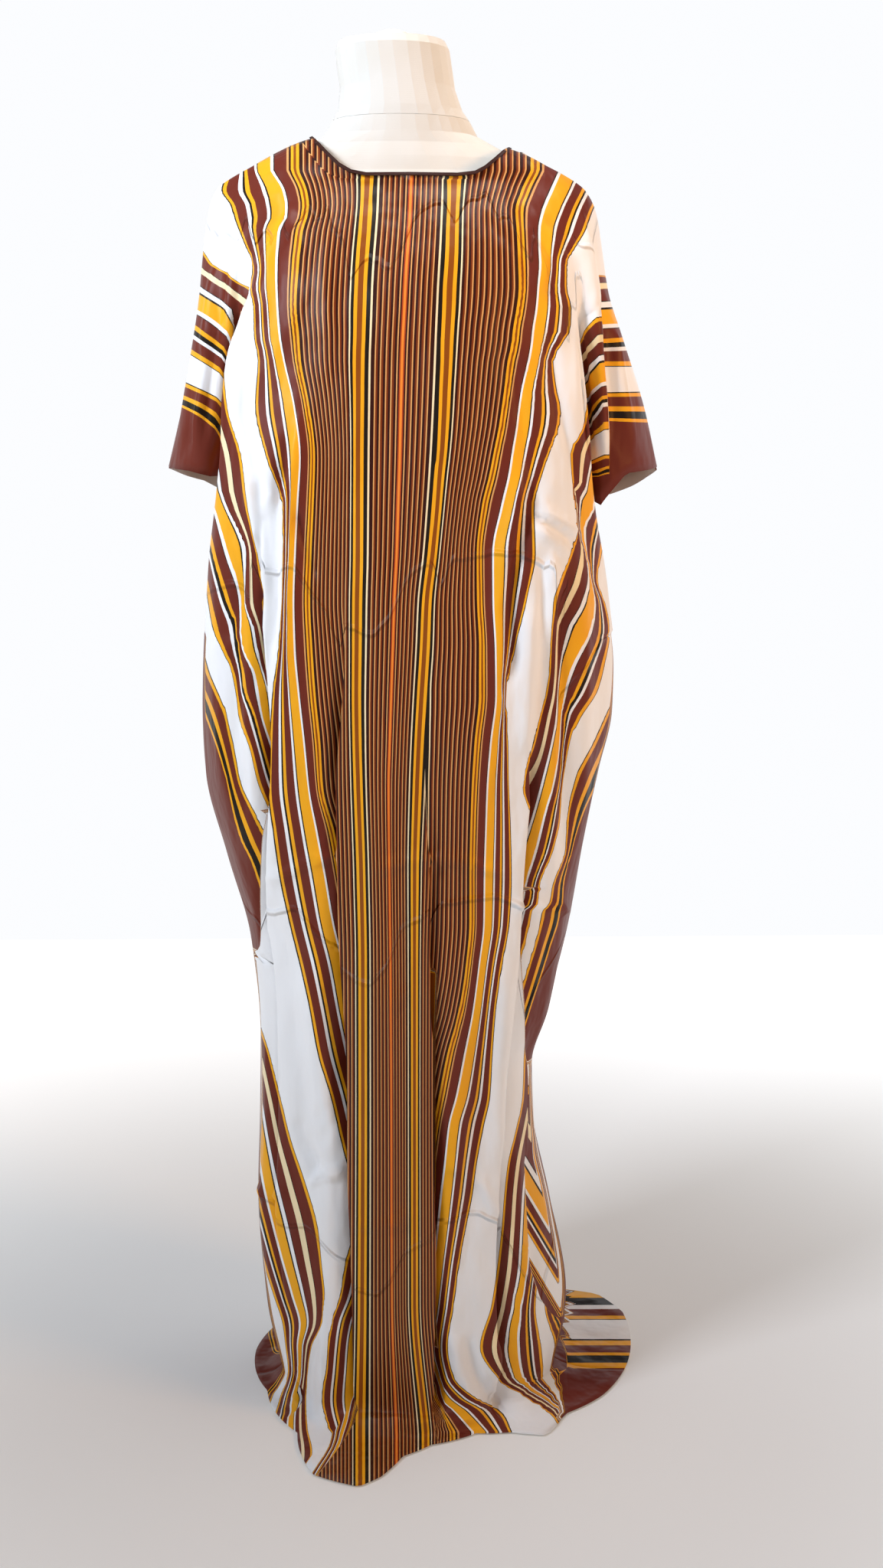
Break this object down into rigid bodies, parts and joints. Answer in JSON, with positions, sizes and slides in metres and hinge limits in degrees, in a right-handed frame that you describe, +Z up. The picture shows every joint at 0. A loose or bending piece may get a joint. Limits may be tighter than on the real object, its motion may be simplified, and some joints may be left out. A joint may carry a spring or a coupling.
{
  "type": "baati dress on a dress form",
  "caption": "Full-length loose baati dress of striped cloth with wide cut-in sleeves and a round neck, on a limbless dress form and round-footed stand, its long hem lying on the floor.",
  "frame": {"origin": "centre of the underside of the stand's round base, on the floor", "axes": "+Z up along the stand, -Y towards the viewer and the front of the dress, +X to the viewer's right"},
  "size_m": [0.5434, 0.4577, 1.545],
  "materials": {
    "dress_front": "thin printed cloth with a slight satin sheen: lengthwise stripes in gold, brown, cream and white with fine lines in the middle; pale on the reverse",
    "dress_back": "the same printed cloth",
    "neck_binding": "narrow turned edge of dark printed cloth",
    "form_torso": "matt off-white stretch cover over a padded form",
    "form_neck": "matt off-white stretch cover",
    "neck_cap": "end of the stretch cover, folded flat",
    "stand_pole": "satin grey paint",
    "stand_base": "satin grey paint"
  },
  "bodies": {
    "root": {"dress_front": "dress_front", "dress_back": "dress_back", "neck_binding": "neck_binding", "form_torso": "form_torso", "form_neck": "form_neck", "neck_cap": "neck_cap", "stand_pole": "stand_pole", "stand_base": "stand_base"}
  },
  "joints": []
}
